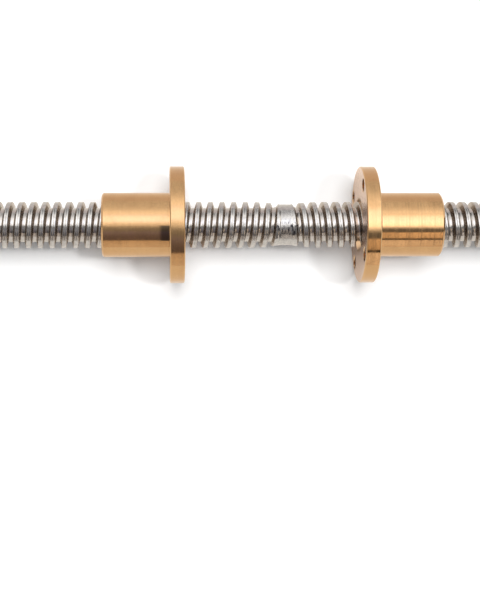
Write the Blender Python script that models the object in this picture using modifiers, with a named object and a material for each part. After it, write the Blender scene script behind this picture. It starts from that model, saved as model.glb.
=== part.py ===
"""Double-handed trapezoidal lead screw with its two flanged nuts, a Blender 4.5 model.

Metres, +Z up. The screw lies along X, with the plain middle between its two threads above the
origin, and the nuts' flanges rest on the plane z = 0. The thread is right-handed on the +X side and
left-handed on the -X side, so a turn of the screw moves the two nuts opposite ways.
"""
import math

import bmesh
import bpy
from mathutils import Vector

# Screw, cold rolled from bar: Tr16x4, one start, on both sides
SCREW_LENGTH = 0.250
BLANK_DIAMETER = 0.0140    # the bar before rolling, which is the thread's pitch diameter
CREST_HEIGHT = 0.0009      # rolled up above the blank
ROOT_DEPTH = 0.00125       # pressed in below the blank
PITCH = 0.0040             # also the lead, as there is one start
FLANK_ANGLE = math.radians(15)
FIRST_CREST = 0.0055       # from the middle to the first crest, on the +Y side
PLAIN_LENGTH = 0.0046      # left unrolled in the middle
CREST_RUNOUT = 0.0055      # over which the crests rise from the plain middle
ROOT_RUNOUT = 0.0020       # over which the groove sinks from the plain middle
END_STEP = 0.0003          # end faces lie this far inside the thread's root
END_CHAMFER_ANGLE = math.radians(45)

# Nuts, each turned in one piece
FLANGE_DIAMETER = 0.0400   # across the flats that its round side is made of, like the body's
FLANGE_THICKNESS = 0.0050
FLANGE_EDGE = 0.0003
BODY_DIAMETER = 0.0220
NUT_LENGTH = 0.0280
BORE_CLEARANCE = 0.00015   # all round, between the thread's crest and the nut's bore
MOUTH_CHAMFER_SHARE = 0.44 # of the wall between the bore and the body's round side
BODY_EDGE_SHARE = 0.20     # of the same wall
BOLT_LAND_SHARE = 0.72     # of the flange's width beside a bolt hole, how much lies towards the body
BOLT_HOLE_DIAMETER = 0.0045
BOLT_HOLE_EDGE = 0.0003
BOLT_HOLE_COUNT = 4

# Where each nut stands on the screw: its flange's free face from the middle, and how far its
# first bolt hole is turned from straight up
LEFT_NUT_PLACE = 0.0345
RIGHT_NUT_PLACE = 0.0257
LEFT_NUT_TURN = math.radians(6)
RIGHT_NUT_TURN = math.radians(50)

# Fineness of the round surfaces
THREAD_STEPS = 16          # a turn of the thread
NUT_STEPS = 48             # round a nut, a multiple of 4 so that a flat meets the ground
HOLE_STEPS = 20            # round a bolt hole
END_STEPS = 48             # round the screw's chamfered ends

# Worked out from the sizes above
BLANK_RADIUS = BLANK_DIAMETER / 2
CREST_RADIUS = BLANK_RADIUS + CREST_HEIGHT
ROOT_RADIUS = BLANK_RADIUS - ROOT_DEPTH
HALF_CREST_WIDTH = PITCH / 4 - CREST_HEIGHT * math.tan(FLANK_ANGLE)
HALF_ROOT_WIDTH = PITCH / 4 - ROOT_DEPTH * math.tan(FLANK_ANGLE)
NUT_FACET_MIDDLE = math.cos(math.pi / NUT_STEPS)
FLANGE_RADIUS = FLANGE_DIAMETER / 2 / NUT_FACET_MIDDLE
BODY_RADIUS = BODY_DIAMETER / 2 / NUT_FACET_MIDDLE
BORE_RADIUS = (CREST_RADIUS + BORE_CLEARANCE) / NUT_FACET_MIDDLE
NUT_WALL = BODY_DIAMETER / 2 - CREST_RADIUS - BORE_CLEARANCE
MOUTH_CHAMFER = NUT_WALL * MOUTH_CHAMFER_SHARE
BODY_EDGE = NUT_WALL * BODY_EDGE_SHARE
BOLT_LAND = (FLANGE_DIAMETER - BODY_DIAMETER) / 2 - BOLT_HOLE_DIAMETER
BOLT_CIRCLE_RADIUS = (BODY_DIAMETER + BOLT_HOLE_DIAMETER) / 2 + BOLT_LAND * BOLT_LAND_SHARE
AXIS_HEIGHT = FLANGE_DIAMETER / 2

MERGE_DISTANCE = 0.00001
CUTTER_MARGIN = 0.001
SMOOTH_ANGLE = math.radians(30)


def clear_scene():
    for old in list(bpy.data.objects):
        bpy.data.objects.remove(old, do_unlink=True)


def make_collection(name):
    collection = bpy.data.collections.new(name)
    bpy.context.scene.collection.children.link(collection)
    return collection


def make_material(name, color, roughness):
    material = bpy.data.materials.new(name)
    material.use_nodes = True
    shader = material.node_tree.nodes["Principled BSDF"]
    shader.inputs["Base Color"].default_value = (*color, 1.0)
    shader.inputs["Metallic"].default_value = 1.0
    shader.inputs["Roughness"].default_value = roughness
    return material


def turned_mesh(name, outline, closed, steps, start_angle=0.0, lead=0.0, turns=1):
    """Turn an outline of (x, radius) points about the X axis, moving on by lead each turn."""
    points = [(x, r * math.cos(start_angle), r * math.sin(start_angle)) for x, r in outline]
    edges = [(i, i + 1) for i in range(len(points) - 1)]
    if closed:
        edges.append((len(points) - 1, 0))
    mesh = bpy.data.meshes.new(name)
    mesh.from_pydata(points, edges, [])
    profile = bpy.data.objects.new(name, mesh)
    bpy.context.scene.collection.objects.link(profile)
    screw = profile.modifiers.new("Turn", "SCREW")
    screw.axis = "X"
    screw.angle = math.tau
    screw.steps = steps
    screw.render_steps = steps
    screw.screw_offset = lead
    screw.iterations = turns
    screw.use_merge_vertices = True
    screw.merge_threshold = MERGE_DISTANCE
    bpy.context.view_layer.update()
    depsgraph = bpy.context.evaluated_depsgraph_get()
    turned = bpy.data.meshes.new_from_object(profile.evaluated_get(depsgraph))
    turned.name = name
    bpy.data.objects.remove(profile)
    bpy.data.meshes.remove(mesh)
    face_outwards(turned)
    return turned


def face_outwards(mesh):
    bm = bmesh.new()
    bm.from_mesh(mesh)
    bmesh.ops.recalc_face_normals(bm, faces=bm.faces)
    bm.to_mesh(mesh)
    bm.free()


def shade_round(mesh):
    mesh.shade_smooth()
    mesh.set_sharp_from_angle(angle=SMOOTH_ANGLE)


def thread_outline(first_x):
    """One pitch of the trapezoidal thread, from the start of a crest to the start of the next."""
    groove = first_x + PITCH / 2
    return [
        (first_x - HALF_CREST_WIDTH, CREST_RADIUS),
        (first_x + HALF_CREST_WIDTH, CREST_RADIUS),
        (groove - HALF_ROOT_WIDTH, ROOT_RADIUS),
        (groove + HALF_ROOT_WIDTH, ROOT_RADIUS),
        (first_x + PITCH - HALF_CREST_WIDTH, CREST_RADIUS),
    ]


def fade_to_blank(bm):
    """Bring the thread back to the blank's radius towards the plain middle."""
    for vertex in bm.verts:
        radius = math.hypot(vertex.co.y, vertex.co.z)
        runout = CREST_RUNOUT if radius > BLANK_RADIUS else ROOT_RUNOUT
        formed = (vertex.co.x - PLAIN_LENGTH / 2) / runout
        formed = min(max(formed, 0.0), 1.0)
        scale = (BLANK_RADIUS + (radius - BLANK_RADIUS) * formed) / radius
        vertex.co.y *= scale
        vertex.co.z *= scale


def close_outer_end(bm, tip_x):
    """Draw the open rim at the thread's outer end in to one point on the axis."""
    rim = [edge for edge in bm.edges if edge.is_boundary and edge.verts[0].co.x > 0]
    drawn = bmesh.ops.extrude_edge_only(bm, edges=rim)
    inner = [item for item in drawn["geom"] if isinstance(item, bmesh.types.BMVert)]
    bmesh.ops.pointmerge(bm, verts=inner, merge_co=Vector((tip_x, 0.0, 0.0)))


def make_half_thread(name):
    """The +X half: a right-hand thread that starts at the middle, open there for the mirror."""
    turns_inside = math.ceil((FIRST_CREST + PITCH) / PITCH)
    first_x = FIRST_CREST - turns_inside * PITCH
    turns = math.ceil((SCREW_LENGTH / 2 + CUTTER_MARGIN - first_x + HALF_CREST_WIDTH) / PITCH)
    mesh = turned_mesh(name, thread_outline(first_x), False, THREAD_STEPS, lead=PITCH, turns=turns)
    bm = bmesh.new()
    bm.from_mesh(mesh)
    bmesh.ops.remove_doubles(bm, verts=bm.verts, dist=MERGE_DISTANCE)
    fade_to_blank(bm)
    close_outer_end(bm, first_x + (turns + 0.5) * PITCH)
    everything = bm.verts[:] + bm.edges[:] + bm.faces[:]
    bmesh.ops.bisect_plane(
        bm, geom=everything, dist=MERGE_DISTANCE / 100, plane_co=(0, 0, 0), plane_no=(1, 0, 0), clear_inner=True
    )
    bm.to_mesh(mesh)
    bm.free()
    face_outwards(mesh)
    shade_round(mesh)
    return mesh


def make_end_trim(name):
    """The bar that the thread is cut back to: its length, with both ends chamfered."""
    end_radius = ROOT_RADIUS - END_STEP
    outer_radius = CREST_RADIUS + CUTTER_MARGIN
    end_x = SCREW_LENGTH / 2
    chamfer_x = end_x - (outer_radius - end_radius) * math.tan(END_CHAMFER_ANGLE)
    outline = [
        (end_x, 0.0),
        (end_x, end_radius),
        (chamfer_x, outer_radius),
        (-chamfer_x, outer_radius),
        (-end_x, end_radius),
        (-end_x, 0.0),
    ]
    return turned_mesh(name, outline, False, END_STEPS)


def make_screw(parts, cutters, material):
    screw = bpy.data.objects.new("lead_screw", make_half_thread("lead_screw"))
    screw.location = (0.0, 0.0, AXIS_HEIGHT)
    parts.objects.link(screw)
    screw.data.materials.append(material)
    mirror = screw.modifiers.new("Left hand half", "MIRROR")
    mirror.use_axis = (True, False, False)
    mirror.use_mirror_merge = True
    mirror.merge_threshold = MERGE_DISTANCE
    trim = add_cutter("end_trim", make_end_trim("end_trim"), screw, cutters)
    cut(screw, trim, "INTERSECT")
    return screw


def nut_outline():
    """Half section of a nut. Its flange's free face is at x = 0 and its body points to +X."""
    return [
        (0.0, BORE_RADIUS + MOUTH_CHAMFER),
        (0.0, FLANGE_RADIUS - FLANGE_EDGE),
        (FLANGE_EDGE, FLANGE_RADIUS),
        (FLANGE_THICKNESS - FLANGE_EDGE, FLANGE_RADIUS),
        (FLANGE_THICKNESS, FLANGE_RADIUS - FLANGE_EDGE),
        (FLANGE_THICKNESS, BODY_RADIUS),
        (NUT_LENGTH - BODY_EDGE, BODY_RADIUS),
        (NUT_LENGTH, BODY_RADIUS - BODY_EDGE),
        (NUT_LENGTH, BORE_RADIUS + MOUTH_CHAMFER),
        (NUT_LENGTH - MOUTH_CHAMFER, BORE_RADIUS),
        (MOUTH_CHAMFER, BORE_RADIUS),
    ]


def make_bolt_drills(name, turn):
    """One stepped drill for each bolt hole, which goes through the flange and chamfers both rims."""
    radius = BOLT_HOLE_DIAMETER / 2
    widest = radius + BOLT_HOLE_EDGE + CUTTER_MARGIN
    outline = [
        (-CUTTER_MARGIN, 0.0),
        (-CUTTER_MARGIN, widest),
        (BOLT_HOLE_EDGE, radius),
        (FLANGE_THICKNESS - BOLT_HOLE_EDGE, radius),
        (FLANGE_THICKNESS + CUTTER_MARGIN, widest),
        (FLANGE_THICKNESS + CUTTER_MARGIN, 0.0),
    ]
    drill = turned_mesh(name, outline, False, HOLE_STEPS)
    bm = bmesh.new()
    for index in range(BOLT_HOLE_COUNT):
        angle = turn + index * math.tau / BOLT_HOLE_COUNT
        earlier = len(bm.verts)
        bm.from_mesh(drill)
        place = Vector((0.0, math.sin(angle), math.cos(angle))) * BOLT_CIRCLE_RADIUS
        bmesh.ops.translate(bm, verts=bm.verts[earlier:], vec=place)
    bm.to_mesh(drill)
    bm.free()
    return drill


def make_nut(name, place, heading, turn, parts, cutters, material):
    """One nut on the screw. Heading is the turn about Z that points its body outwards."""
    half_facet = math.pi / NUT_STEPS
    mesh = turned_mesh(name, nut_outline(), True, NUT_STEPS, start_angle=half_facet)
    shade_round(mesh)
    nut = bpy.data.objects.new(name, mesh)
    nut.location = (place, 0.0, AXIS_HEIGHT)
    nut.rotation_euler = (0.0, 0.0, heading)
    parts.objects.link(nut)
    nut.data.materials.append(material)
    drills = add_cutter(name + "_drills", make_bolt_drills(name + "_drills", turn), nut, cutters)
    cut(nut, drills, "DIFFERENCE")
    return nut


def add_cutter(name, mesh, carrier, cutters):
    cutter = bpy.data.objects.new(name, mesh)
    cutter.parent = carrier
    cutter.hide_render = True
    cutter.display_type = "WIRE"
    cutters.objects.link(cutter)
    return cutter


def cut(target, cutter, operation):
    boolean = target.modifiers.new(cutter.name, "BOOLEAN")
    boolean.operation = operation
    boolean.solver = "EXACT"
    boolean.object = cutter


def main():
    clear_scene()
    parts = make_collection("trapezoidal_lead_screw")
    cutters = make_collection("cutters")
    steel = make_material("rolled_stainless_steel", (0.62, 0.60, 0.58), 0.28)
    brass = make_material("turned_brass", (0.82, 0.58, 0.30), 0.30)
    make_screw(parts, cutters, steel)
    make_nut("left_hand_nut", -LEFT_NUT_PLACE, math.pi, LEFT_NUT_TURN, parts, cutters, brass)
    make_nut("right_hand_nut", RIGHT_NUT_PLACE, 0.0, RIGHT_NUT_TURN, parts, cutters, brass)


main()
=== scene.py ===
"""Looks of a double-handed trapezoidal lead screw with two flanged brass nuts, for Blender 4.5.

Metres, +Z up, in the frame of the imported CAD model: the screw lies along X, its thread is
right-handed on the +X side and left-handed on the -X side, and the nuts' flanges rest on z = 0.
The rolled thread and the nuts are made again here with the detail that the CAD solids leave out,
and each stands for its CAD node.
"""

import math

import bmesh
import bpy
from mathutils import Matrix, Vector


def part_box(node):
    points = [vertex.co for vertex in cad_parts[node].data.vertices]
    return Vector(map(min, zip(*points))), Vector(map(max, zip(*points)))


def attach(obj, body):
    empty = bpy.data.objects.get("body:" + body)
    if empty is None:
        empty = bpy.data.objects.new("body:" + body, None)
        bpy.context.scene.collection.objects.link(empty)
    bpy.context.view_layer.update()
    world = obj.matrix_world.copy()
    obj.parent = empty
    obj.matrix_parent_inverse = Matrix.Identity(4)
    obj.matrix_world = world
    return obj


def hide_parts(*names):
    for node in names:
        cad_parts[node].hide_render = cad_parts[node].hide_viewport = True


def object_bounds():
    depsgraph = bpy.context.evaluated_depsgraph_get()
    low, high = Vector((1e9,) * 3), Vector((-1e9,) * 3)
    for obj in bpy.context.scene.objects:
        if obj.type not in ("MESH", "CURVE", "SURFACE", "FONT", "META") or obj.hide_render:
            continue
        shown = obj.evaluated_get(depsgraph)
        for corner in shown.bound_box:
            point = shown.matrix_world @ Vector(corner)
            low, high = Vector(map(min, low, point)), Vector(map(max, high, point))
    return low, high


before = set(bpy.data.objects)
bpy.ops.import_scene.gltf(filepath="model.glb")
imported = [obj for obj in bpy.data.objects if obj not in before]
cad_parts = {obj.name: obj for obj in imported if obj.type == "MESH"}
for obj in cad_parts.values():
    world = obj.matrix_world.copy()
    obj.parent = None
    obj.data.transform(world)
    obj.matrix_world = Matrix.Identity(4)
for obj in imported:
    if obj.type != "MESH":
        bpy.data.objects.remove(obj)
cad_low, cad_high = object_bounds()

MM = 0.001

# Places that the CAD model gives
left_nut_low, left_nut_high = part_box("left_hand_nut")
right_nut_low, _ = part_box("right_hand_nut")
AXIS_HEIGHT = (left_nut_low.z + left_nut_high.z) / 2
SCREW_END = cad_high.x
LEFT_FLANGE_FACE = left_nut_high.x
RIGHT_FLANGE_FACE = right_nut_low.x

# Thread, Tr16x4
PITCH = 4.0 * MM
CREST_RADIUS = 7.9 * MM
ROOT_RADIUS = 5.75 * MM
BLANK_RADIUS = 7.0 * MM
FLANK_ANGLE = math.radians(15)
FIRST_CREST = 5.5 * MM       # from the middle to the first crest, on the +Y side
CREST_ROUNDING = 0.28 * MM
ROOT_ROUNDING = 0.20 * MM
SEAM_DEPTH = 0.045 * MM      # of the fold that rolling leaves along the crest
SEAM_HALF_WIDTH = 0.12 * MM
SEAM_SHAPE = ((0.4, 0.8), (1.0, 0.15), (1.6, 0.0))  # in half widths across, in depths down
THREAD_STEPS = 48            # round the axis

# Where the thread runs out into the plain middle
PLAIN_HALF_LENGTH = 2.3 * MM
CREST_RUNOUT = 3.3 * MM
GROOVE_RUNOUT = 0.8 * MM
LIP_HEIGHT = 0.12 * MM       # of the bar's metal pushed up beside the plain middle
LIP_WIDTH = 0.30 * MM

# Ends of the screw
END_FACE_RADIUS = 5.45 * MM
END_SUPPORT = 0.15 * MM      # from the end face's edge to the ring that keeps it flat
CHAMFER_CUTS = 8             # across the thread, so that the chamfer comes out straight

# Nuts
FLANGE_RADIUS = 19.99 * MM
FLANGE_THICKNESS = 5.0 * MM
FLANGE_EDGE = 0.3 * MM
BODY_RADIUS = 11.0 * MM
BODY_EDGE = 0.6 * MM         # chamfer, as FLANGE_EDGE is
NUT_LENGTH = 28.0 * MM
MOUTH_RADIUS = 9.35 * MM     # of the chamfers that lead into the thread
NUT_MINOR_RADIUS = 6.05 * MM  # of the bore that the tap cuts
TAP_CREST_RADIUS = 8.2 * MM
TAP_ROOT_RADIUS = 5.9 * MM
TAP_SIDE_GAP = 0.09 * MM     # between the screw's flank and the nut's
TAP_STEPS = 64               # round the axis
TAP_ROUNDING = 0.10 * MM
EDGE_ROUNDING = 0.07 * MM    # of every corner that is turned
NUT_STEPS = 144              # round the axis
BOLT_CIRCLE_RADIUS = 16.49 * MM
BOLT_HOLE_RADIUS = 2.25 * MM
BOLT_HOLE_EDGE = 0.3 * MM
BOLT_HOLE_COUNT = 4
BOLT_HOLE_STEPS = 40
LEFT_NUT_TURN = math.radians(6)    # of the bolt holes round the axis
RIGHT_NUT_TURN = math.radians(50)

# Meshes
MERGE_DISTANCE = 0.002 * MM
WELD_DISTANCE = MERGE_DISTANCE / 4
SLICE_TOLERANCE = MERGE_DISTANCE / 10
SHARP_ANGLE = math.radians(32)


def feed(tree, socket, value):
    """Give a socket a plain value, or link it to another node's output."""
    if isinstance(value, bpy.types.NodeSocket):
        tree.links.new(value, socket)
    else:
        socket.default_value = value


def calc(tree, operation, *values):
    """One Math node, as the socket of its answer."""
    node = tree.nodes.new("ShaderNodeMath")
    node.operation = operation
    for socket, value in zip(node.inputs, values):
        feed(tree, socket, value)
    return node.outputs[0]


def times(tree, *values):
    """All the values multiplied."""
    product = values[0]
    for value in values[1:]:
        product = calc(tree, "MULTIPLY", product, value)
    return product


def make_thread_tree():
    """Wind one pitch of outline round the X axis for a number of turns, and fade it to the blank."""
    tree = bpy.data.node_groups.new("Wound thread", "GeometryNodeTree")
    sockets = tree.interface
    sockets.new_socket("Outline", in_out="INPUT", socket_type="NodeSocketGeometry")
    for name in (
        "Pitch", "Start", "Axis Height", "Blank Radius", "Plain Half Length",
        "Crest Run-out", "Groove Run-out", "Lip Height", "Lip Width",
    ):
        sockets.new_socket(name, in_out="INPUT", socket_type="NodeSocketFloat")
    for name in ("Turns", "Steps Round"):
        sockets.new_socket(name, in_out="INPUT", socket_type="NodeSocketInt")
    sockets.new_socket("Finish", in_out="INPUT", socket_type="NodeSocketMaterial")
    sockets.new_socket("Thread", in_out="OUTPUT", socket_type="NodeSocketGeometry")
    given = tree.nodes.new("NodeGroupInput").outputs

    # Rows of the grid run along the outline, and its columns go round the axis
    counted = tree.nodes.new("GeometryNodeAttributeDomainSize")
    counted.component = "MESH"
    feed(tree, counted.inputs["Geometry"], given["Outline"])
    outline_points = counted.outputs["Point Count"]
    columns = calc(tree, "ADD", given["Steps Round"], 1.0)
    rows = calc(tree, "MULTIPLY_ADD", outline_points, given["Turns"], 1.0)
    grid = tree.nodes.new("GeometryNodeMeshGrid")
    feed(tree, grid.inputs["Vertices X"], rows)
    feed(tree, grid.inputs["Vertices Y"], columns)
    index = tree.nodes.new("GeometryNodeInputIndex").outputs["Index"]
    row = calc(tree, "FLOOR", calc(tree, "DIVIDE", index, columns))
    column = calc(tree, "SUBTRACT", index, calc(tree, "MULTIPLY", row, columns))
    turn = calc(tree, "FLOOR", calc(tree, "DIVIDE", row, outline_points))
    point = calc(tree, "SUBTRACT", row, calc(tree, "MULTIPLY", turn, outline_points))
    round_share = calc(tree, "DIVIDE", column, given["Steps Round"])

    # The outline's point for this row: x along the axis, y out from it
    place = tree.nodes.new("GeometryNodeInputPosition").outputs["Position"]
    found = tree.nodes.new("GeometryNodeSampleIndex")
    found.data_type = "FLOAT_VECTOR"
    feed(tree, found.inputs["Geometry"], given["Outline"])
    feed(tree, found.inputs["Value"], place)
    feed(tree, found.inputs["Index"], point)
    parts = tree.nodes.new("ShaderNodeSeparateXYZ")
    feed(tree, parts.inputs[0], found.outputs["Value"])
    turns_on = calc(tree, "ADD", turn, round_share)
    along = calc(tree, "MULTIPLY_ADD", turns_on, given["Pitch"], parts.outputs["X"])
    along = calc(tree, "ADD", along, given["Start"])
    radius = parts.outputs["Y"]

    # Crests and grooves come up to their full size away from the plain middle
    past_plain = calc(tree, "SUBTRACT", along, given["Plain Half Length"])
    beyond = calc(tree, "MAXIMUM", past_plain, 0.0)
    is_crest = calc(tree, "GREATER_THAN", radius, given["Blank Radius"])
    less_groove = calc(tree, "SUBTRACT", given["Crest Run-out"], given["Groove Run-out"])
    runout = calc(tree, "MULTIPLY_ADD", is_crest, less_groove, given["Groove Run-out"])
    fading = calc(tree, "EXPONENT", times(tree, calc(tree, "DIVIDE", beyond, runout), -1.0))
    formed = calc(tree, "SUBTRACT", 1.0, fading)
    swell = calc(tree, "SUBTRACT", radius, given["Blank Radius"])
    radius = calc(tree, "MULTIPLY_ADD", swell, formed, given["Blank Radius"])
    from_lip = calc(tree, "DIVIDE", past_plain, given["Lip Width"])
    lip_fading = calc(tree, "EXPONENT", times(tree, from_lip, from_lip, -1.0))
    radius = calc(tree, "MULTIPLY_ADD", lip_fading, given["Lip Height"], radius)

    angle = calc(tree, "MULTIPLY", round_share, math.tau)
    out = tree.nodes.new("ShaderNodeCombineXYZ")
    feed(tree, out.inputs["X"], along)
    feed(tree, out.inputs["Y"], times(tree, radius, calc(tree, "COSINE", angle)))
    up = times(tree, radius, calc(tree, "SINE", angle))
    feed(tree, out.inputs["Z"], calc(tree, "ADD", up, given["Axis Height"]))
    placed = tree.nodes.new("GeometryNodeSetPosition")
    feed(tree, placed.inputs["Geometry"], grid.outputs["Mesh"])
    feed(tree, placed.inputs["Position"], out.outputs["Vector"])
    merged = tree.nodes.new("GeometryNodeMergeByDistance")
    feed(tree, merged.inputs["Geometry"], placed.outputs["Geometry"])
    merged.inputs["Distance"].default_value = MERGE_DISTANCE
    whole = tree.nodes.new("GeometryNodeRealizeInstances")
    feed(tree, whole.inputs["Geometry"], merged.outputs["Geometry"])
    finished = tree.nodes.new("GeometryNodeSetMaterial")
    feed(tree, finished.inputs["Geometry"], whole.outputs["Geometry"])
    feed(tree, finished.inputs["Material"], given["Finish"])
    end = tree.nodes.new("NodeGroupOutput")
    feed(tree, end.inputs["Thread"], finished.outputs["Geometry"])
    return tree


def wind_thread(tree, outline, material, **values):
    """Run the tree on an outline of (x, radius) points and give the plain mesh."""
    mesh = bpy.data.meshes.new("Thread outline")
    mesh.from_pydata([(x, r, 0.0) for x, r in outline], [], [])
    carrier = bpy.data.objects.new("Thread outline", mesh)
    bpy.context.scene.collection.objects.link(carrier)
    modifier = carrier.modifiers.new("Wound thread", "NODES")
    modifier.node_group = tree
    identifiers = {
        item.name: item.identifier for item in tree.interface.items_tree if item.in_out == "INPUT"
    }
    modifier[identifiers["Finish"]] = material
    for name, value in values.items():
        modifier[identifiers[name.replace("_", " ").replace("Run out", "Run-out")]] = value
    depsgraph = bpy.context.evaluated_depsgraph_get()
    wound = bpy.data.meshes.new_from_object(carrier.evaluated_get(depsgraph))
    bpy.data.objects.remove(carrier)
    bpy.data.meshes.remove(mesh)
    return wound


def arc(centre_x, centre_r, radius, start, end, steps):
    """Points on an arc in the outline's plane, with angles in degrees."""
    points = []
    for step in range(steps + 1):
        angle = math.radians(start + (end - start) * step / steps)
        points.append((centre_x + radius * math.cos(angle), centre_r + radius * math.sin(angle)))
    return points


def thread_outline(crest_radius, root_radius, crest_rounding, side_gap, seam_depth, rounding_steps):
    """One pitch of the outline, from the middle of a crest to just before the next."""
    slope = math.tan(FLANK_ANGLE)
    lean = math.degrees(FLANK_ANGLE)
    eased = math.tan((math.pi / 2 - FLANK_ANGLE) / 2)
    half_crest = PITCH / 4 + side_gap - (crest_radius - BLANK_RADIUS) * slope
    half_root = PITCH / 4 - side_gap - (BLANK_RADIUS - root_radius) * slope
    crest_turn = half_crest - crest_rounding * eased
    root_turn = PITCH / 2 - half_root + ROOT_ROUNDING * eased
    half = [(0.0, crest_radius - seam_depth)]
    if seam_depth:
        for across, down in SEAM_SHAPE:
            half.append((SEAM_HALF_WIDTH * across, crest_radius - seam_depth * down))
    half += arc(crest_turn, crest_radius - crest_rounding, crest_rounding, 90, lean, rounding_steps)
    half += arc(root_turn, root_radius + ROOT_ROUNDING, ROOT_ROUNDING, 180 + lean, 270, rounding_steps)
    middle = [(PITCH / 2, root_radius)]
    mirrored = [(PITCH - x, r) for x, r in reversed(half[1:])]
    return half + middle + mirrored


def read_mesh(mesh):
    """Open a mesh for editing."""
    bm = bmesh.new()
    bm.from_mesh(mesh)
    return bm


def store_mesh(bm, mesh):
    """Write an edited mesh back, with its faces outward and its corners sharp."""
    bmesh.ops.recalc_face_normals(bm, faces=bm.faces)
    bm.to_mesh(mesh)
    bm.free()
    mesh.shade_smooth()
    mesh.set_sharp_from_angle(angle=SHARP_ANGLE)


def slice_at(bm, x, drop_outer=False, drop_inner=False):
    """Cut across the X axis, and drop the part beyond the cut or before it if asked."""
    everything = bm.verts[:] + bm.edges[:] + bm.faces[:]
    bmesh.ops.bisect_plane(
        bm, geom=everything, dist=SLICE_TOLERANCE, plane_co=(x, 0.0, 0.0),
        plane_no=(1.0, 0.0, 0.0), clear_outer=drop_outer, clear_inner=drop_inner,
    )


def open_rim(bm, side):
    """Edges of the open rim at the outer (1) or inner (-1) end."""
    middle = sum(vertex.co.x for vertex in bm.verts) / len(bm.verts)
    return [
        edge for edge in bm.edges
        if edge.is_boundary and (edge.verts[0].co.x - middle) * side > 0
    ]


def draw_in(bm, rim, x, radius=None):
    """Add a ring of faces from a rim to a circle round the axis, or to one point on it."""
    drawn = bmesh.ops.extrude_edge_only(bm, edges=rim)
    new_verts = [item for item in drawn["geom"] if isinstance(item, bmesh.types.BMVert)]
    if radius is None:
        bmesh.ops.pointmerge(bm, verts=new_verts, merge_co=Vector((x, 0.0, AXIS_HEIGHT)))
        return []
    for vertex in new_verts:
        set_radius(vertex, radius)
        vertex.co.x = x
    return [item for item in drawn["geom"] if isinstance(item, bmesh.types.BMEdge)]


def radius_of(vertex):
    """How far a vertex is from the screw's axis."""
    return math.hypot(vertex.co.y, vertex.co.z - AXIS_HEIGHT)


def set_radius(vertex, radius):
    """Move a vertex straight in or out to a distance from the screw's axis."""
    scale = radius / radius_of(vertex)
    vertex.co.y *= scale
    vertex.co.z = AXIS_HEIGHT + (vertex.co.z - AXIS_HEIGHT) * scale


def make_screw(tree, material):
    """The bar: its +X half with the end chamfered, and the same mirrored for the other hand."""
    start = FIRST_CREST - math.ceil((FIRST_CREST + PITCH) / PITCH) * PITCH
    turns = math.ceil((SCREW_END + PITCH - start) / PITCH)
    outline = thread_outline(CREST_RADIUS, ROOT_RADIUS, CREST_ROUNDING, 0.0, SEAM_DEPTH, 4)
    mesh = wind_thread(
        tree, outline, material, Pitch=PITCH, Start=start, Axis_Height=AXIS_HEIGHT,
        Blank_Radius=BLANK_RADIUS, Plain_Half_Length=PLAIN_HALF_LENGTH,
        Crest_Run_out=CREST_RUNOUT, Groove_Run_out=GROOVE_RUNOUT,
        Lip_Height=LIP_HEIGHT, Lip_Width=LIP_WIDTH, Turns=turns, Steps_Round=THREAD_STEPS,
    )
    bm = read_mesh(mesh)
    slice_at(bm, 0.0, drop_inner=True)
    chamfer_start = SCREW_END - (CREST_RADIUS - END_FACE_RADIUS)
    root_meets = SCREW_END - (ROOT_RADIUS - END_FACE_RADIUS)
    for cut in range(CHAMFER_CUTS):
        slice_at(bm, chamfer_start + (root_meets - chamfer_start) * cut / CHAMFER_CUTS)
    slice_at(bm, root_meets)
    slice_at(bm, SCREW_END, drop_outer=True)
    for vertex in bm.verts:
        limit = END_FACE_RADIUS + SCREW_END - vertex.co.x
        if radius_of(vertex) > limit:
            set_radius(vertex, limit)
    rim = draw_in(bm, open_rim(bm, 1), SCREW_END, END_FACE_RADIUS - END_SUPPORT)
    rim = [edge for edge in rim if edge.is_boundary]
    draw_in(bm, rim, SCREW_END)
    everything = bm.verts[:] + bm.edges[:] + bm.faces[:]
    bmesh.ops.mirror(bm, geom=everything, axis="X", merge_dist=MERGE_DISTANCE)
    bmesh.ops.remove_doubles(bm, verts=bm.verts, dist=WELD_DISTANCE)
    store_mesh(bm, mesh)
    return mesh


def make_tap(tree, material, low_x, high_x):
    """The right-hand tap that cuts a nut's thread, in step with the screw, closed at both ends."""
    start = FIRST_CREST + math.floor((low_x - FIRST_CREST - 2 * PITCH) / PITCH) * PITCH
    turns = math.ceil((high_x + PITCH - start) / PITCH)
    outline = thread_outline(TAP_CREST_RADIUS, TAP_ROOT_RADIUS, TAP_ROUNDING, TAP_SIDE_GAP, 0.0, 1)
    mesh = wind_thread(
        tree, outline, material, Pitch=PITCH, Start=start, Axis_Height=AXIS_HEIGHT,
        Blank_Radius=BLANK_RADIUS, Plain_Half_Length=0.0, Crest_Run_out=MM, Groove_Run_out=MM,
        Lip_Height=0.0, Lip_Width=MM, Turns=turns, Steps_Round=TAP_STEPS,
    )
    bm = read_mesh(mesh)
    draw_in(bm, open_rim(bm, 1), start + (turns + 0.5) * PITCH)
    draw_in(bm, open_rim(bm, -1), start + 0.5 * PITCH)
    store_mesh(bm, mesh)
    return mesh


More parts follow.
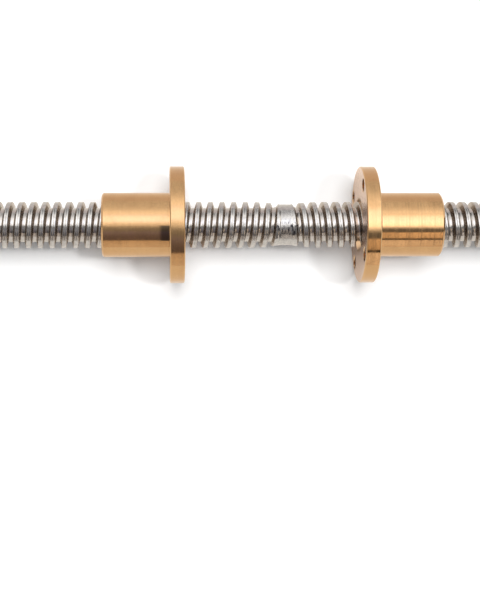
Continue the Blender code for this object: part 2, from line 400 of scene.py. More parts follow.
def ease_corners(outline, rounding):
    """Round each corner of a closed outline a little, with a point beside it on long sides."""
    least_turning = 0.05
    long_side = 12 * rounding
    support = 3
    eased = []
    count = len(outline)
    for index, corner in enumerate(outline):
        here = Vector(corner)
        before = Vector(outline[index - 1]) - here
        after = Vector(outline[(index + 1) % count]) - here
        turning = math.pi - before.angle(after)
        if turning < least_turning:
            eased.append(tuple(here))
            continue
        cut = rounding * math.tan(turning / 2)
        first = here + before.normalized() * cut
        last = here + after.normalized() * cut
        middle = (first + last) / 2
        bisector = (before.normalized() + after.normalized()).normalized()
        to_centre = rounding / math.cos(turning / 2)
        top = here + bisector * (to_centre - rounding)
        if before.length > long_side:
            eased.append(tuple(here + before.normalized() * cut * support))
        eased += [tuple(first), tuple(top), tuple(last)]
        if after.length > long_side:
            eased.append(tuple(here + after.normalized() * cut * support))
    return eased


def turn_outline(name, outline, steps):
    """Turn a closed outline of (x, radius) points about the X axis."""
    bm = bmesh.new()
    ring = [bm.verts.new((x, 0.0, r)) for x, r in outline]
    edges = [bm.edges.new((ring[i - 1], ring[i])) for i in range(len(ring))]
    bmesh.ops.spin(
        bm, geom=ring + edges, cent=(0.0, 0.0, 0.0), axis=(1.0, 0.0, 0.0), angle=math.tau,
        steps=steps, use_merge=True,
    )
    bmesh.ops.remove_doubles(bm, verts=bm.verts, dist=WELD_DISTANCE)
    mesh = bpy.data.meshes.new(name)
    store_mesh(bm, mesh)
    return mesh


def nut_outline():
    """A nut's closed outline as (x, radius) points, with its flange's free face at x = 0."""
    mouth_depth = MOUTH_RADIUS - NUT_MINOR_RADIUS
    outline = [
        (0.0, MOUTH_RADIUS),
        (0.0, FLANGE_RADIUS - FLANGE_EDGE),
        (FLANGE_EDGE, FLANGE_RADIUS),
        (FLANGE_THICKNESS - FLANGE_EDGE, FLANGE_RADIUS),
        (FLANGE_THICKNESS, FLANGE_RADIUS - FLANGE_EDGE),
        (FLANGE_THICKNESS, BODY_RADIUS),
        (NUT_LENGTH - BODY_EDGE, BODY_RADIUS),
        (NUT_LENGTH, BODY_RADIUS - BODY_EDGE),
        (NUT_LENGTH, MOUTH_RADIUS),
        (NUT_LENGTH - mouth_depth, NUT_MINOR_RADIUS),
        (mouth_depth, NUT_MINOR_RADIUS),
    ]
    return ease_corners(outline, EDGE_ROUNDING)


def make_drills(turn):
    """Drills for the bolt holes of a nut whose free face is at x = 0, with both rims chamfered."""
    reach = MM
    widest = BOLT_HOLE_RADIUS + BOLT_HOLE_EDGE + reach
    outline = [
        (-reach, widest),
        (BOLT_HOLE_EDGE, BOLT_HOLE_RADIUS),
        (FLANGE_THICKNESS - BOLT_HOLE_EDGE, BOLT_HOLE_RADIUS),
        (FLANGE_THICKNESS + reach, widest),
    ]
    bm = bmesh.new()
    for number in range(BOLT_HOLE_COUNT):
        angle = turn + number * math.tau / BOLT_HOLE_COUNT
        middle = Vector((0.0, math.sin(angle), math.cos(angle))) * BOLT_CIRCLE_RADIUS
        rings = []
        for x, radius in outline:
            ring = []
            for step in range(BOLT_HOLE_STEPS):
                way = step * math.tau / BOLT_HOLE_STEPS
                y = middle.y + radius * math.cos(way)
                z = middle.z + radius * math.sin(way)
                ring.append(bm.verts.new((x, y, z)))
            rings.append(ring)
        for near, far in zip(rings, rings[1:]):
            for step in range(BOLT_HOLE_STEPS):
                following = (step + 1) % BOLT_HOLE_STEPS
                bm.faces.new((near[step], near[following], far[following], far[step]))
        bm.faces.new(rings[0])
        bm.faces.new(rings[-1])
    mesh = bpy.data.meshes.new("Bolt drills")
    store_mesh(bm, mesh)
    return mesh


def cut_mesh(mesh, *cutters):
    """Take the cutters' shapes out of a mesh, and give the plain result."""
    target = bpy.data.objects.new("Being cut", mesh)
    bpy.context.scene.collection.objects.link(target)
    tools = []
    for cutter in cutters:
        tool = bpy.data.objects.new("Cutter", cutter)
        bpy.context.scene.collection.objects.link(tool)
        tools.append(tool)
        boolean = target.modifiers.new("Cut", "BOOLEAN")
        boolean.operation = "DIFFERENCE"
        boolean.solver = "EXACT"
        boolean.object = tool
    depsgraph = bpy.context.evaluated_depsgraph_get()
    result = bpy.data.meshes.new_from_object(target.evaluated_get(depsgraph))
    for used in [target] + tools:
        bpy.data.objects.remove(used)
    return result


def make_nut(turn):
    """A nut still without its thread, with its flange's free face at x = 0."""
    return cut_mesh(turn_outline("Nut", nut_outline(), NUT_STEPS), make_drills(turn))


def place_nut(mesh, tap, face_x, left_hand):
    """Set a nut on the screw's axis, turned round for the left-hand side, and cut its thread."""
    bm = read_mesh(mesh)
    if left_hand:
        half_turn = Matrix.Rotation(math.pi, 3, "Z")
        bmesh.ops.rotate(bm, verts=bm.verts, cent=(0.0, 0.0, 0.0), matrix=half_turn)
    bmesh.ops.translate(bm, verts=bm.verts, vec=(face_x, 0.0, AXIS_HEIGHT))
    store_mesh(bm, mesh)
    if left_hand:
        bm = read_mesh(tap)
        bmesh.ops.scale(bm, verts=bm.verts, vec=(-1.0, 1.0, 1.0))
        store_mesh(bm, tap)
    finished = cut_mesh(mesh, tap)
    bm = read_mesh(finished)
    bmesh.ops.remove_doubles(bm, verts=bm.verts, dist=WELD_DISTANCE)
    store_mesh(bm, finished)
    return finished


def new_group(name, inputs, outputs):
    """A shader group with plain numbers as inputs, and its input and output sockets."""
    group = bpy.data.node_groups.new(name, "ShaderNodeTree")
    for socket_name, value in inputs.items():
        socket = group.interface.new_socket(socket_name, in_out="INPUT", socket_type="NodeSocketFloat")
        socket.default_value = value
    for socket_name in outputs:
        group.interface.new_socket(socket_name, in_out="OUTPUT", socket_type="NodeSocketFloat")
    given = group.nodes.new("NodeGroupInput").outputs
    results = group.nodes.new("NodeGroupOutput").inputs
    return group, given, results


def place_group(tree, group, values):
    """Put a group in a material with its own values, and give its outputs."""
    node = tree.nodes.new("ShaderNodeGroup")
    node.node_tree = group
    for name, value in values.items():
        feed(tree, node.inputs[name], value)
    return node.outputs


def combine(tree, x, y, z):
    """Three numbers as one vector or colour."""
    node = tree.nodes.new("ShaderNodeCombineXYZ")
    for socket, value in zip(node.inputs, (x, y, z)):
        feed(tree, socket, value)
    return node.outputs["Vector"]


def separate(tree, vector):
    """A vector's three numbers, named X, Y and Z."""
    node = tree.nodes.new("ShaderNodeSeparateXYZ")
    feed(tree, node.inputs[0], vector)
    return node.outputs


def inverse(tree, mask):
    """1 where a mask is 0, and 0 where it is 1."""
    return calc(tree, "SUBTRACT", 1.0, mask)


def rise(tree, value, low, high):
    """0 below low, 1 above high, and smooth between."""
    node = tree.nodes.new("ShaderNodeMapRange")
    node.interpolation_type = "SMOOTHSTEP"
    feed(tree, node.inputs["Value"], value)
    feed(tree, node.inputs["From Min"], low)
    feed(tree, node.inputs["From Max"], high)
    return node.outputs["Result"]


def fall(tree, value, low, high):
    """1 below low, 0 above high, and smooth between."""
    return inverse(tree, rise(tree, value, low, high))


def between(tree, value, start, full, fading, end):
    """0 before start and after end, 1 from full to fading, and smooth in the two steps."""
    return times(tree, rise(tree, value, start, full), fall(tree, value, fading, end))


def distance(tree, across, up):
    """How far a point with two coordinates lies from their origin."""
    squares = calc(tree, "ADD", calc(tree, "POWER", across, 2.0), calc(tree, "POWER", up, 2.0))
    return calc(tree, "SQRT", squares)


def blend(tree, share, first, second):
    """Run from one number to another."""
    return calc(tree, "MULTIPLY_ADD", share, calc(tree, "SUBTRACT", second, first), first)


def blend_colors(tree, share, first, second, way="MIX"):
    """Run from one colour to another, each a socket or its red, green and blue."""
    node = tree.nodes.new("ShaderNodeMix")
    node.data_type = "RGBA"
    node.blend_type = way
    feed(tree, node.inputs["Factor"], share)
    for socket_name, color in (("A", first), ("B", second)):
        if isinstance(color, tuple):
            color = (*color, 1.0)
        feed(tree, node.inputs[socket_name], color)
    return node.outputs["Result"]


def dim(tree, color, share):
    """Keep a share of a colour."""
    return blend_colors(tree, 1.0, color, combine(tree, share, share, share), "MULTIPLY")


def layered(tree, mix, base, *layers):
    """Lay (mask, strength, top) layers over a base, where mix is blend or blend_colors."""
    for mask, strength, top in layers:
        base = mix(tree, times(tree, mask, strength), base, top)
    return base


def heights(tree, *layers):
    """Add up (value, depth) layers of relief."""
    total = 0.0
    for value, depth in layers:
        total = calc(tree, "MULTIPLY_ADD", value, depth, total)
    return total


def noise(tree, vector, scale, detail=2.0, roughness=0.5):
    """Clouds of values round one half."""
    node = tree.nodes.new("ShaderNodeTexNoise")
    feed(tree, node.inputs["Vector"], vector)
    feed(tree, node.inputs["Scale"], scale)
    node.inputs["Detail"].default_value = detail
    node.inputs["Roughness"].default_value = roughness
    return node.outputs["Fac"]


def wrapped(tree, across, turn, reach):
    """A place in the clouds that comes back to itself after a turn round the axis."""
    round_y = times(tree, calc(tree, "COSINE", turn), reach)
    round_z = times(tree, calc(tree, "SINE", turn), reach)
    return combine(tree, across, round_y, round_z)


def group_turned_place():
    """Where a point lies on a turned piece: along its axis, out from it and round it."""
    group, given, results = new_group(
        "Turned place",
        {"Axis Height": 0.0, "Start": 0.0, "Side": 1.0},
        ("Along", "Radius", "Turn", "Facing Along"),
    )
    place = group.nodes.new("ShaderNodeTexCoord").outputs
    point = separate(group, place["Object"])
    up = calc(group, "SUBTRACT", point["Z"], given["Axis Height"])
    from_start = calc(group, "SUBTRACT", point["X"], given["Start"])
    feed(group, results["Along"], times(group, from_start, given["Side"]))
    feed(group, results["Radius"], distance(group, point["Y"], up))
    feed(group, results["Turn"], calc(group, "ARCTAN2", point["Y"], up))
    facing = separate(group, place["Normal"])["X"]
    feed(group, results["Facing Along"], calc(group, "ABSOLUTE", facing))
    return group


def group_turning_lines():
    """Fine lines round the axis, such as a tool or a rolling die leaves."""
    group, given, results = new_group(
        "Turning lines",
        {"Place": 0.0, "Turn": 0.0, "Spacing": 0.0002, "Wander": 0.3},
        ("Lines",),
    )
    across = calc(group, "DIVIDE", given["Place"], given["Spacing"])
    place = wrapped(group, across, given["Turn"], given["Wander"])
    feed(group, results["Lines"], noise(group, place, 1.0, 3.0, 0.6))
    return group


def group_blotches():
    """Soft patches of a given size, with their share set by where they begin and end."""
    group, given, results = new_group(
        "Blotches",
        {"Size": 0.003, "Seed": 0.0, "From": 0.4, "To": 0.6},
        ("Mask",),
    )
    place = group.nodes.new("ShaderNodeTexCoord").outputs["Object"]
    shifted = group.nodes.new("ShaderNodeVectorMath")
    shifted.operation = "ADD"
    feed(group, shifted.inputs[0], place)
    feed(group, shifted.inputs[1], combine(group, given["Seed"], 0.0, 0.0))
    scale = calc(group, "DIVIDE", 1.0, given["Size"])
    cloud = noise(group, shifted.outputs["Vector"], scale, 4.0, 0.55)
    feed(group, results["Mask"], rise(group, cloud, given["From"], given["To"]))
    return group


def group_scuffs():
    """Short marks that run round the piece, each of about the given width and length."""
    group, given, results = new_group(
        "Scuffs",
        {"Along": 0.0, "Radius": 0.01, "Turn": 0.0, "Width": 0.0002, "Length": 0.001, "Amount": 0.3},
        ("Mask",),
    )
    reach = calc(group, "DIVIDE", given["Radius"], given["Length"])
    across = calc(group, "DIVIDE", given["Along"], given["Width"])
    cloud = noise(group, wrapped(group, across, given["Turn"], reach), 1.0, 2.0, 0.6)

    # The more marks are wanted, the lower the clouds are cut
    highest_cut = 0.72
    lowering = 0.4
    softness = 0.07
    cut = calc(group, "SUBTRACT", highest_cut, times(group, given["Amount"], lowering))
    feed(group, results["Mask"], rise(group, cloud, cut, calc(group, "ADD", cut, softness)))
    return group


def group_corner_wear():
    """How near a point is to a turned corner, broken up as handling wears it."""
    group, given, results = new_group(
        "Corner wear",
        {"Along": 0.0, "Radius": 0.0, "Corner Along": 0.0, "Corner Radius": 0.01, "Reach": 0.0005},
        ("Mask",),
    )
    off_along = calc(group, "SUBTRACT", given["Along"], given["Corner Along"])
    off_radius = calc(group, "SUBTRACT", given["Radius"], given["Corner Radius"])
    place = group.nodes.new("ShaderNodeTexCoord").outputs["Object"]
    broken = blend(group, noise(group, place, 900.0, 3.0), 0.55, 1.45)
    reach = times(group, given["Reach"], broken)
    to_corner = distance(group, off_along, off_radius)
    feed(group, results["Mask"], fall(group, to_corner, times(group, reach, 0.5), reach))
    return group


# Effects that steel and brass share
TURNED_PLACE = group_turned_place()
TURNING_LINES = group_turning_lines()
BLOTCHES = group_blotches()
SCUFFS = group_scuffs()
CORNER_WEAR = group_corner_wear()


def lines_round(tree, place, turn, spacing, wander):
    """Turning lines across the given place, as a relief."""
    values = {"Place": place, "Turn": turn, "Spacing": spacing, "Wander": wander}
    return place_group(tree, TURNING_LINES, values)["Lines"]


def soft_patches(tree, size, seed, start, full):
    """Blotches, as a mask."""
    values = {"Size": size, "Seed": seed, "From": start, "To": full}
    return place_group(tree, BLOTCHES, values)["Mask"]


def scuffs_on(tree, spot, width, length, amount):
    """Scuffs at a turned place, as a mask."""
    values = {name: spot[name] for name in ("Along", "Radius", "Turn")}
    values.update({"Width": width, "Length": length, "Amount": amount})
    return place_group(tree, SCUFFS, values)["Mask"]


def wear_at(tree, along, radius, corner_along, corner_radius, reach):
    """Wear round one turned corner, as a mask."""
    values = {
        "Along": along, "Radius": radius, "Corner Along": corner_along, "Corner Radius": corner_radius,
        "Reach": reach,
    }
    return place_group(tree, CORNER_WEAR, values)["Mask"]


def new_material(name):
    """A material with its node tree and its Principled shader."""
    material = bpy.data.materials.new(name)
    material.use_nodes = True
    return material, material.node_tree, material.node_tree.nodes["Principled BSDF"]


def add_relief(tree, shader, height):
    """Give the surface a relief, with its height in metres."""
    bump = tree.nodes.new("ShaderNodeBump")
    bump.inputs["Strength"].default_value = 1.0
    bump.inputs["Distance"].default_value = 1.0
    feed(tree, bump.inputs["Height"], height)
    feed(tree, shader.inputs["Normal"], bump.outputs["Normal"])


BRIGHT_STEEL = (0.525, 0.51, 0.495)
DULL_STEEL = (0.42, 0.405, 0.395)
WORN_STEEL = (0.74, 0.73, 0.72)
# Painted shade: the grooves and flanks are darkened and browned for the shade and dim reflections
# between the turns
GROOVE_SHADE = (0.47, 0.435, 0.41)
FLANK_SHADE = (0.40, 0.335, 0.275)
DARK_FLANK_SHADE = (0.24, 0.20, 0.17)
STEEL_SPECK = (0.34, 0.32, 0.32)
ROLLED_MARK = (0.26, 0.25, 0.26)
# near-black marks: real marks with a painted dark reflection
GRIP_MARK_DARK_REFLECTION = (0.03, 0.03, 0.04)


def make_steel():
    """Bright rolled steel: clean crests, painted brownish shade on the flanks and in the grooves, marks
    in the middle.
    """
    material, tree, shader = new_material("Rolled steel")
    spot = place_group(tree, TURNED_PLACE, {"Axis Height": AXIS_HEIGHT})
    along = spot["Along"]
    radius = spot["Radius"]
    turn = spot["Turn"]
    facing = spot["Facing Along"]
    from_middle = calc(tree, "ABSOLUTE", along)

    on_thread = rise(tree, from_middle, PLAIN_HALF_LENGTH, PLAIN_HALF_LENGTH + MM)
    unrolled = fall(tree, from_middle, PLAIN_HALF_LENGTH - 0.3 * MM, PLAIN_HALF_LENGTH + 0.8 * MM)
    before_end = fall(tree, from_middle, SCREW_END - 2.6 * MM, SCREW_END - 2.2 * MM)
    end_face = times(tree, rise(tree, facing, 0.6, 0.8), inverse(tree, before_end))
    flank = times(tree, rise(tree, facing, 0.42, 0.80), on_thread, before_end)
    groove = times(tree, fall(tree, radius, 6.0 * MM, 6.9 * MM), on_thread, before_end)

    clouds = soft_patches(tree, size=1.2 * MM, seed=3.0, start=0.38, full=0.66)
    specks = soft_patches(tree, size=0.45 * MM, seed=7.0, start=0.50, full=0.68)
    lines = lines_round(tree, along, turn, spacing=0.16 * MM, wander=1.2)
    rolled_marks = scuffs_on(tree, spot, width=0.22 * MM, length=0.9 * MM, amount=0.34)
    face_wear = wear_at(tree, from_middle, radius, SCREW_END, END_FACE_RADIUS, reach=0.5 * MM)

    # A gripping tool marked the plain middle and the first turns beside it. The marks are painted
    # near-black only at the front and on top, where a dark reflection falls: real marks with a painted
    # dark reflection
    grip_marks_and_dark_reflection = scuffs_on(tree, spot, width=0.46 * MM, length=2.4 * MM, amount=0.47)
    near_middle = fall(tree, from_middle, PLAIN_HALF_LENGTH + 2.0 * MM, PLAIN_HALF_LENGTH + 5.0 * MM)
    where_dark_band_falls = between(tree, turn, -0.66, -0.52, 0.00, 0.14)
    grip_marks_and_dark_reflection = times(tree, grip_marks_and_dark_reflection, near_middle, where_dark_band_falls)

    color = layered(
        tree, blend_colors, blend_colors(tree, clouds, BRIGHT_STEEL, DULL_STEEL),
        # painted shade in the grooves and on the flanks
        (groove, 0.7, GROOVE_SHADE),
        (flank, 0.92, blend_colors(tree, specks, FLANK_SHADE, DARK_FLANK_SHADE)),
        (specks, 0.22, STEEL_SPECK),
        (rolled_marks, 0.30, ROLLED_MARK),
        # marks painted near-black where the dark reflection falls, partly a painted reflection
        (grip_marks_and_dark_reflection, 0.95, GRIP_MARK_DARK_REFLECTION),
        (face_wear, 0.6, WORN_STEEL),
    )
    feed(tree, shader.inputs["Base Color"], color)
    shader.inputs["Metallic"].default_value = 1.0
    all_marks = calc(tree, "MAXIMUM", grip_marks_and_dark_reflection, times(tree, rolled_marks, 0.6))
    roughness = layered(
        tree, blend, blend(tree, clouds, 0.10, 0.17),
        (flank, 0.8, 0.30),
        (unrolled, 0.8, 0.27),
        (all_marks, 1.0, 0.34),
        (end_face, 1.0, 0.32),
    )
    feed(tree, shader.inputs["Roughness"], roughness)
    add_relief(tree, shader, heights(
        tree,
        (lines, 0.0012 * MM),
        (specks, -0.0025 * MM),
        (clouds, 0.002 * MM),
        (rolled_marks, -0.003 * MM),
        (grip_marks_and_dark_reflection, -0.008 * MM),
    ))
    return material


LIGHT_BRASS = (0.585, 0.355, 0.170)
HAZY_BRASS = (0.545, 0.325, 0.155)
BRASS_LINE = (0.46, 0.275, 0.13)
BRASS_GRAIN = (0.42, 0.26, 0.14)
BRASS_SCRATCH = (0.70, 0.50, 0.29)
# painted sheen: the flat faces are paler for what they mirror at a grazing angle
SHEEN_FACE_BRASS = (0.77, 0.56, 0.45)
# painted shade in the bore
SHADED_BORE_BRASS = (0.46, 0.24, 0.10)
# painted light on the walls of the bolt holes
LIT_HOLE_WALL_BRASS = (0.97, 0.70, 0.42)
# painted dark reflection
DARK_REFLECTION_BRASS = (0.085, 0.065, 0.050)
# wear and a painted highlight on the outer corners
WORN_HIGHLIT_BRASS = (0.70, 0.47, 0.24)
# painted highlight on the chamfers
HIGHLIT_CHAMFER_BRASS = (0.80, 0.60, 0.42)


def make_brass(name, start, side, seed, dark_reflection_share, grain_depth):
    """Turned brass: lines round the axis on the walls and rings on the faces.

    The flange's free face is at start, and the nut runs from there to the given side, 1 or -1.
    With a share of 1 the body has a painted dark reflection beside the flange, and with 0 it has none.
    """
    material, tree, shader = new_material(name)
    spot = place_group(tree, TURNED_PLACE, {"Axis Height": AXIS_HEIGHT, "Start": start, "Side": side})
    along = spot["Along"]
    radius = spot["Radius"]
    turn = spot["Turn"]
    facing = spot["Facing Along"]
    tool_path = calc(tree, "ADD", along, radius)
    other_path = calc(tree, "ADD", tool_path, seed * MM)

    fine = lines_round(tree, tool_path, turn, spacing=0.10 * MM, wander=0.25)
    coarse = lines_round(tree, other_path, turn, spacing=0.42 * MM, wander=0.15)
    streaks = rise(tree, blend(tree, 0.6, fine, coarse), 0.46, 0.58)
    haze = soft_patches(tree, size=5.0 * MM, seed=seed, start=0.42, full=0.68)
    grain = soft_patches(tree, size=0.5 * MM, seed=seed + 2, start=0.42, full=0.66)
    scratches = scuffs_on(tree, spot, width=0.12 * MM, length=4.0 * MM, amount=0.30)
    # Lighter outer corners: partly wear, partly a painted highlight
    worn_and_highlit = 0.0
    corners = (
        (0.0, FLANGE_RADIUS),
        (FLANGE_THICKNESS, FLANGE_RADIUS),
        (NUT_LENGTH, BODY_RADIUS),
    )
    for corner_along, corner_radius in corners:
        corner = wear_at(tree, along, radius, corner_along, corner_radius, reach=0.55 * MM)
        worn_and_highlit = calc(tree, "MAXIMUM", corner, worn_and_highlit)

    # Flat faces outside the mouth, the chamfers of mouth and bolt holes, and the walls of the holes
    on_face = times(tree, rise(tree, facing, 0.80, 0.95), rise(tree, radius, 9.0 * MM, 9.6 * MM))
    # Painted highlight: the chamfers of the mouth and the bolt holes are painted lighter
    near_mouth = fall(tree, radius, 9.9 * MM, 10.2 * MM)
    near_bolt_holes = between(tree, radius, 12.0 * MM, 12.5 * MM, 19.2 * MM, 19.5 * MM)
    near_a_hole = calc(tree, "MAXIMUM", near_mouth, near_bolt_holes)
    on_chamfer = times(tree, between(tree, facing, 0.45, 0.62, 0.80, 0.92), near_a_hole)
    # Painted shade: the bore is darker and more orange
    in_bore = times(tree, fall(tree, radius, 8.0 * MM, 8.6 * MM), fall(tree, facing, 0.45, 0.62))
    # Painted light: the walls of the bolt holes are painted bright, for the light bouncing inside them
    in_flange = between(tree, radius, 13.0 * MM, 13.5 * MM, 19.3 * MM, 19.6 * MM)
    hole_wall = times(tree, in_flange, fall(tree, facing, 0.3, 0.5))

    # Painted reflection: a dark patch on the body beside the flange, where something dark is mirrored;
    # the patch is also smoother
    dark_reflection_along = between(tree, along, 5.2 * MM, 5.35 * MM, 7.4 * MM, 9.0 * MM)
    dark_reflection_round = between(tree, turn, -0.575, -0.560, -0.10, -0.05)
    dark_reflection = times(tree, dark_reflection_along, dark_reflection_round, dark_reflection_share)

    color = layered(
        tree, blend_colors, blend_colors(tree, haze, LIGHT_BRASS, HAZY_BRASS),
        (coarse, 0.28, BRASS_LINE),
        (grain, 0.16, BRASS_GRAIN),
        (scratches, 0.22, BRASS_SCRATCH),
        # painted sheen on the flat faces
        (on_face, 0.80, SHEEN_FACE_BRASS),
        # painted shade in the bore
        (in_bore, 0.5, SHADED_BORE_BRASS),
        # painted light on the walls of the bolt holes
        (hole_wall, 1.0, LIT_HOLE_WALL_BRASS),
        # painted dark reflection beside the flange
        (dark_reflection, 0.80, DARK_REFLECTION_BRASS),
        # wear and a painted highlight on the outer corners
        (worn_and_highlit, 0.35, WORN_HIGHLIT_BRASS),
        # painted highlight on the chamfers
        (on_chamfer, 0.5, HIGHLIT_CHAMFER_BRASS),
    )
    feed(tree, shader.inputs["Base Color"], color)
    shader.inputs["Metallic"].default_value = 1.0
    roughness = layered(
        tree, blend, blend(tree, haze, 0.05, 0.09),
        (streaks, 0.6, 0.26),
        (on_face, 1.0, 0.24),
        (grain, 0.4, 0.20),
        (dark_reflection, 1.0, 0.05),
    )
    feed(tree, shader.inputs["Roughness"], roughness)
    off_dark_reflection = inverse(tree, times(tree, dark_reflection, 0.9))
    add_relief(tree, shader, heights(
        tree,
        (fine, 0.0010 * MM),
        (coarse, 0.0014 * MM),
        (times(tree, grain, off_dark_reflection), -grain_depth),
        (times(tree, haze, off_dark_reflection), 0.006 * MM),
        (times(tree, scratches, off_dark_reflection), -0.001 * MM),
        (times(tree, grain, on_face), -0.015 * MM),
    ))
    return material


def add_piece(name, mesh, material, node, body):
    """Set a finished mesh in the scene for one CAD node, on that node's body."""
    mesh.name = name
    mesh.materials.clear()
    mesh.materials.append(material)
    piece = bpy.data.objects.new(name, mesh)
    bpy.context.scene.collection.objects.link(piece)
    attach(piece, body)
    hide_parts(node)


def add_nut(thread_tree, name, brass, node, body, side, flange_face, turn):
    """A nut on its half of the screw: side is 1 for the right-hand thread and -1 for the left-hand."""
    from_middle = flange_face * side
    tap = make_tap(thread_tree, brass, from_middle, from_middle + NUT_LENGTH)
    mesh = place_nut(make_nut(turn), tap, flange_face, side < 0)
    add_piece(name, mesh, brass, node, body)


def make_pieces():
    """The screw and both nuts."""
    thread_tree = make_thread_tree()
    steel = make_steel()
    screw_mesh = make_screw(thread_tree, steel)
    add_piece("rolled_screw", screw_mesh, steel, "lead_screw", "screw")

    left_brass = make_brass(
        "Turned brass, left nut", LEFT_FLANGE_FACE, -1.0,
        seed=11.0, dark_reflection_share=1.0, grain_depth=0.0035 * MM,
    )
    right_brass = make_brass(
        "Turned brass, right nut", RIGHT_FLANGE_FACE, 1.0,
        seed=29.0, dark_reflection_share=0.0, grain_depth=0.0010 * MM,
    )
    add_nut(
        thread_tree, "turned_left_nut", left_brass, "left_hand_nut", "left_nut",
        side=-1.0, flange_face=LEFT_FLANGE_FACE, turn=LEFT_NUT_TURN,
    )
    add_nut(
        thread_tree, "turned_right_nut", right_brass, "right_hand_nut", "right_nut",
        side=1.0, flange_face=RIGHT_FLANGE_FACE, turn=RIGHT_NUT_TURN,
    )


# The floor's paper, and how it looks in the metal before the screw and behind it
PAPER = (0.90, 0.90, 0.90)
MIRRORED_PAPER_BEFORE = (0.94, 0.89, 0.81)
MIRRORED_PAPER_BEHIND = (0.80, 0.72, 0.69)
PAPER_GLOW = 0.19
MIRRORED_PAPER_GLOW = 0.08


def make_floor():
    """White paper that keeps the object's shadow, and looks a warmer, darker white in the metal."""
    size = 3.0
    corners = [(-size, -size, 0.0), (size, -size, 0.0), (size, size, 0.0), (-size, size, 0.0)]
    mesh = bpy.data.meshes.new("Floor")
    mesh.from_pydata(corners, [], [(0, 1, 2, 3)])
    material = bpy.data.materials.new("Pale floor")
    material.use_nodes = True
    tree = material.node_tree
    tree.nodes.clear()
    rays = tree.nodes.new("ShaderNodeLightPath").outputs
    mirrored = calc(tree, "MAXIMUM", rays["Is Glossy Ray"], rays["Is Transmission Ray"])
    place = separate(tree, tree.nodes.new("ShaderNodeTexCoord").outputs["Object"])
    behind = rise(tree, place["Y"], 0.01, 0.09)
    in_metal = blend_colors(tree, behind, MIRRORED_PAPER_BEFORE, MIRRORED_PAPER_BEHIND)
    paper = tree.nodes.new("ShaderNodeBsdfDiffuse")
    feed(tree, paper.inputs["Color"], blend_colors(tree, mirrored, PAPER, in_metal))
    glow = tree.nodes.new("ShaderNodeEmission")
    strength = heights(tree, (rays["Is Camera Ray"], PAPER_GLOW), (mirrored, MIRRORED_PAPER_GLOW))
    feed(tree, glow.inputs["Strength"], strength)
    both = tree.nodes.new("ShaderNodeAddShader")
    feed(tree, both.inputs[0], paper.outputs["BSDF"])
    feed(tree, both.inputs[1], glow.outputs["Emission"])
    end = tree.nodes.new("ShaderNodeOutputMaterial")
    feed(tree, end.inputs["Surface"], both.outputs["Shader"])
    mesh.materials.append(material)
    floor = bpy.data.objects.new("floor", mesh)
    bpy.context.scene.collection.objects.link(floor)


def ramp(tree, angle, stops):
    """Light at angles in degrees round the screw. One number alone is a slightly warm grey."""
    node = tree.nodes.new("ShaderNodeValToRGB")
    feed(tree, node.inputs["Fac"], calc(tree, "MULTIPLY_ADD", angle, 1 / 360, 0.5))
    elements = node.color_ramp.elements
    while len(elements) < len(stops):
        elements.new(0.5)
    for element, (degrees, color) in zip(elements, stops):
        element.position = degrees / 360 + 0.5
        if isinstance(color, float):
            color = (color, color * 0.99, color * 0.975)
        element.color = (*color, 1.0)
    return node.outputs["Color"]


# Light that the metal mirrors, by the angle round the screw: 0 is up, positive is behind
OVER_SCREW = [
    (-92, (0.62, 0.575, 0.53)), (-80, (0.57, 0.505, 0.45)), (-61, (0.54, 0.475, 0.42)),
    (-59, 0.065), (-50, 0.12), (-42, 0.19), (-36, 0.29), (-28, 0.39), (-18, 0.34), (-9, 0.33),
    (-4, 1.80), (4, 2.6), (24, 2.5), (34, 2.12), (46, 1.82), (56, 1.35), (66, 0.90), (80, 0.68),
    (92, 0.76),
]
OVER_LEFT_NUT = [
    (-92, (1.03, 0.93, 0.83)), (-78, (1.02, 0.89, 0.76)), (-61, (0.94, 0.77, 0.61)),
    (-59.5, (0.23, 0.19, 0.20)), (-42, (0.25, 0.21, 0.26)), (-30, (0.32, 0.29, 0.42)),
    (-21, 0.36), (-13, 0.56), (-6, 0.98), (2, 1.42), (8, (1.90, 2.05, 2.50)),
    (15, (2.30, 2.48, 3.00)), (26, (2.05, 2.20, 2.55)), (33, (1.68, 1.72, 1.95)), (38, 1.74),
    (44, 1.60), (54, 1.22), (64, 1.11), (80, 1.03), (92, 0.95),
]
OVER_RIGHT_NUT = [
    (-92, (1.10, 0.99, 0.89)), (-78, (1.26, 1.13, 1.02)), (-60, (1.24, 1.08, 0.96)),
    (-59.3, 0.06), (-54.7, 0.06), (-54, (0.85, 0.66, 0.48)), (-50, (1.20, 0.94, 0.68)),
    (-34, (1.42, 1.10, 0.80)), (-31.5, (1.25, 0.95, 0.68)), (-30.5, 0.16), (-20, 0.22),
    (-15, 0.70), (-11, 1.65), (-5, 2.9), (8, (2.9, 3.0, 3.4)), (22, (2.5, 2.6, 2.9)), (33, 1.85),
    (38, 1.68), (42, 1.78), (52, 1.40), (64, 1.18), (80, 1.05), (92, 0.95),
]

SIDE_CARD = (0.15, 0.14, 0.13)
SIDE_CARD_BEFORE = (0.40, 0.385, 0.38)
BOX_OVER_CARD = (1.9, 1.75, 1.5)
FAR_ROOM = (0.45, 0.40, 0.35)
WHITE = (1.0, 1.0, 1.0)


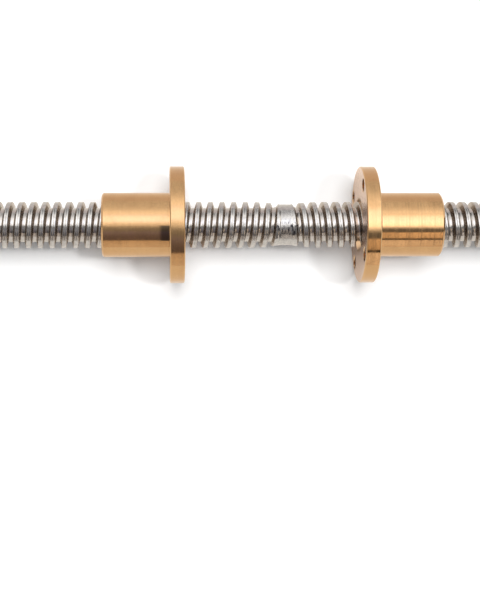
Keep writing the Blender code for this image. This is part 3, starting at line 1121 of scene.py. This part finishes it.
def light_over_screw(tree, x, angle):
    """What the screw mirrors: towards the right the soft box slants and the room is dimmer."""
    slant_degrees = 11.0
    slanted = times(tree, rise(tree, x, 0.02, 0.22), between(tree, angle, -35.0, -15.0, 5.0, 25.0))
    slanted_angle = calc(tree, "MULTIPLY_ADD", slanted, slant_degrees, angle)
    dark_card = between(tree, angle, -62.0, -58.0, -12.0, -4.0)
    dimming = times(tree, rise(tree, x, -0.10, 0.20), inverse(tree, dark_card))
    low_room = rise(tree, calc(tree, "ABSOLUTE", angle), 55.0, 72.0)
    kept = blend(tree, dimming, 1.0, blend(tree, low_room, 0.70, 0.30))
    return dim(tree, ramp(tree, slanted_angle, OVER_SCREW), kept)


def light_over_left_nut(tree, x, angle):
    """What the left nut mirrors, dimmer before its flange's rim."""
    rim = times(tree, rise(tree, x, 0.000, 0.012), between(tree, angle, -61.0, -59.0, -14.0, 4.0))
    return dim(tree, ramp(tree, angle, OVER_LEFT_NUT), blend(tree, rim, 1.0, 0.60))


def light_over_right_nut(tree, x, angle):
    """What the right nut mirrors, dimmer before its flange's rim."""
    rim = times(tree, fall(tree, x, 0.154, 0.166), between(tree, angle, -61.0, -59.0, -34.0, -30.0))
    return dim(tree, ramp(tree, angle, OVER_RIGHT_NUT), blend(tree, rim, 1.0, 0.62))


def light_at_sides(tree, aside, angle):
    """Dark cards past both ends of the screw, with the soft box reaching over them."""
    before = between(tree, angle, -64.0, -58.0, -8.0, -3.0)
    light = blend_colors(tree, before, SIDE_CARD, SIDE_CARD_BEFORE)
    box = times(tree, between(tree, angle, -3.0, 6.0, 40.0, 60.0), fall(tree, aside, 0.50, 0.62))
    return blend_colors(tree, box, light, BOX_OVER_CARD)


def make_studio():
    """A soft box above and behind the screw, dark cards before it and at its sides, and a pale room."""
    world = bpy.data.worlds.new("Studio")
    world.use_nodes = True
    tree = world.node_tree
    tree.nodes.clear()
    direction = separate(tree, tree.nodes.new("ShaderNodeTexCoord").outputs["Generated"])
    x = direction["X"]
    aside = calc(tree, "ABSOLUTE", x)
    angle = calc(tree, "DEGREES", calc(tree, "ARCTAN2", direction["Y"], direction["Z"]))
    at_left_nut = between(tree, x, -0.085, -0.050, 0.022, 0.050)
    at_right_nut = between(tree, x, 0.115, 0.142, 0.212, 0.232)
    at_side_cards = between(tree, aside, 0.34, 0.44, 0.80, 0.90)
    far_aside = rise(tree, aside, 0.80, 0.90)
    light = layered(
        tree, blend_colors, light_over_screw(tree, x, angle),
        (at_left_nut, 1.0, light_over_left_nut(tree, x, angle)),
        (at_right_nut, 1.0, light_over_right_nut(tree, x, angle)),
        (at_side_cards, 1.0, light_at_sides(tree, aside, angle)),
        (far_aside, 1.0, FAR_ROOM),
    )

    # All that is for mirrored rays. The paper gets a little grey light, and the camera sees white
    rays = tree.nodes.new("ShaderNodeLightPath").outputs
    fill = blend(tree, rise(tree, direction["Y"], -1.0, 1.0), 0.0, 0.09)
    light = blend_colors(tree, rays["Is Glossy Ray"], combine(tree, fill, fill, fill), light)
    light = blend_colors(tree, rays["Is Camera Ray"], light, WHITE)
    background = tree.nodes.new("ShaderNodeBackground")
    feed(tree, background.inputs["Color"], light)
    end = tree.nodes.new("ShaderNodeOutputWorld")
    feed(tree, end.inputs["Surface"], background.outputs["Background"])
    bpy.context.scene.world = world


def make_lamp(name, to_lamp, energy, degrees_wide):
    """A round lamp far away in a given direction, which casts a shadow but isn't mirrored."""
    lamp = bpy.data.lights.new(name, "SUN")
    lamp.energy = energy
    lamp.angle = math.radians(degrees_wide)
    holder = bpy.data.objects.new(name, lamp)
    holder.rotation_euler = Vector(to_lamp).to_track_quat("Z", "Y").to_euler()
    holder.visible_glossy = False
    bpy.context.scene.collection.objects.link(holder)


def make_camera():
    """Nearly straight above the object, with the image's up side towards +Y."""
    photo_height = 600
    focal_length_pixels = 1369.6
    yaw = math.radians(3.37)
    roll = math.radians(0.25)
    place = Vector((-43.14 * MM, -25.82 * MM, AXIS_HEIGHT + 469.50 * MM))
    data = bpy.data.cameras.new("Camera")
    data.sensor_width = 36.0
    data.lens = data.sensor_width * focal_length_pixels / photo_height
    camera = bpy.data.objects.new("Camera", data)
    turned = Matrix.Rotation(-yaw, 4, "Y") @ Matrix.Rotation(-roll, 4, "Z")
    camera.matrix_world = Matrix.Translation(place) @ turned
    bpy.context.scene.collection.objects.link(camera)
    bpy.context.scene.camera = camera


make_pieces()
make_floor()
make_studio()
make_lamp("Soft lamp behind", (0.0, 0.20, 1.0), energy=2.46, degrees_wide=29)
make_lamp("Small lamp at the right", (0.395, 0.0, 1.0), energy=0.86, degrees_wide=6.5)
make_camera()
bpy.context.scene.view_settings.view_transform = "Standard"
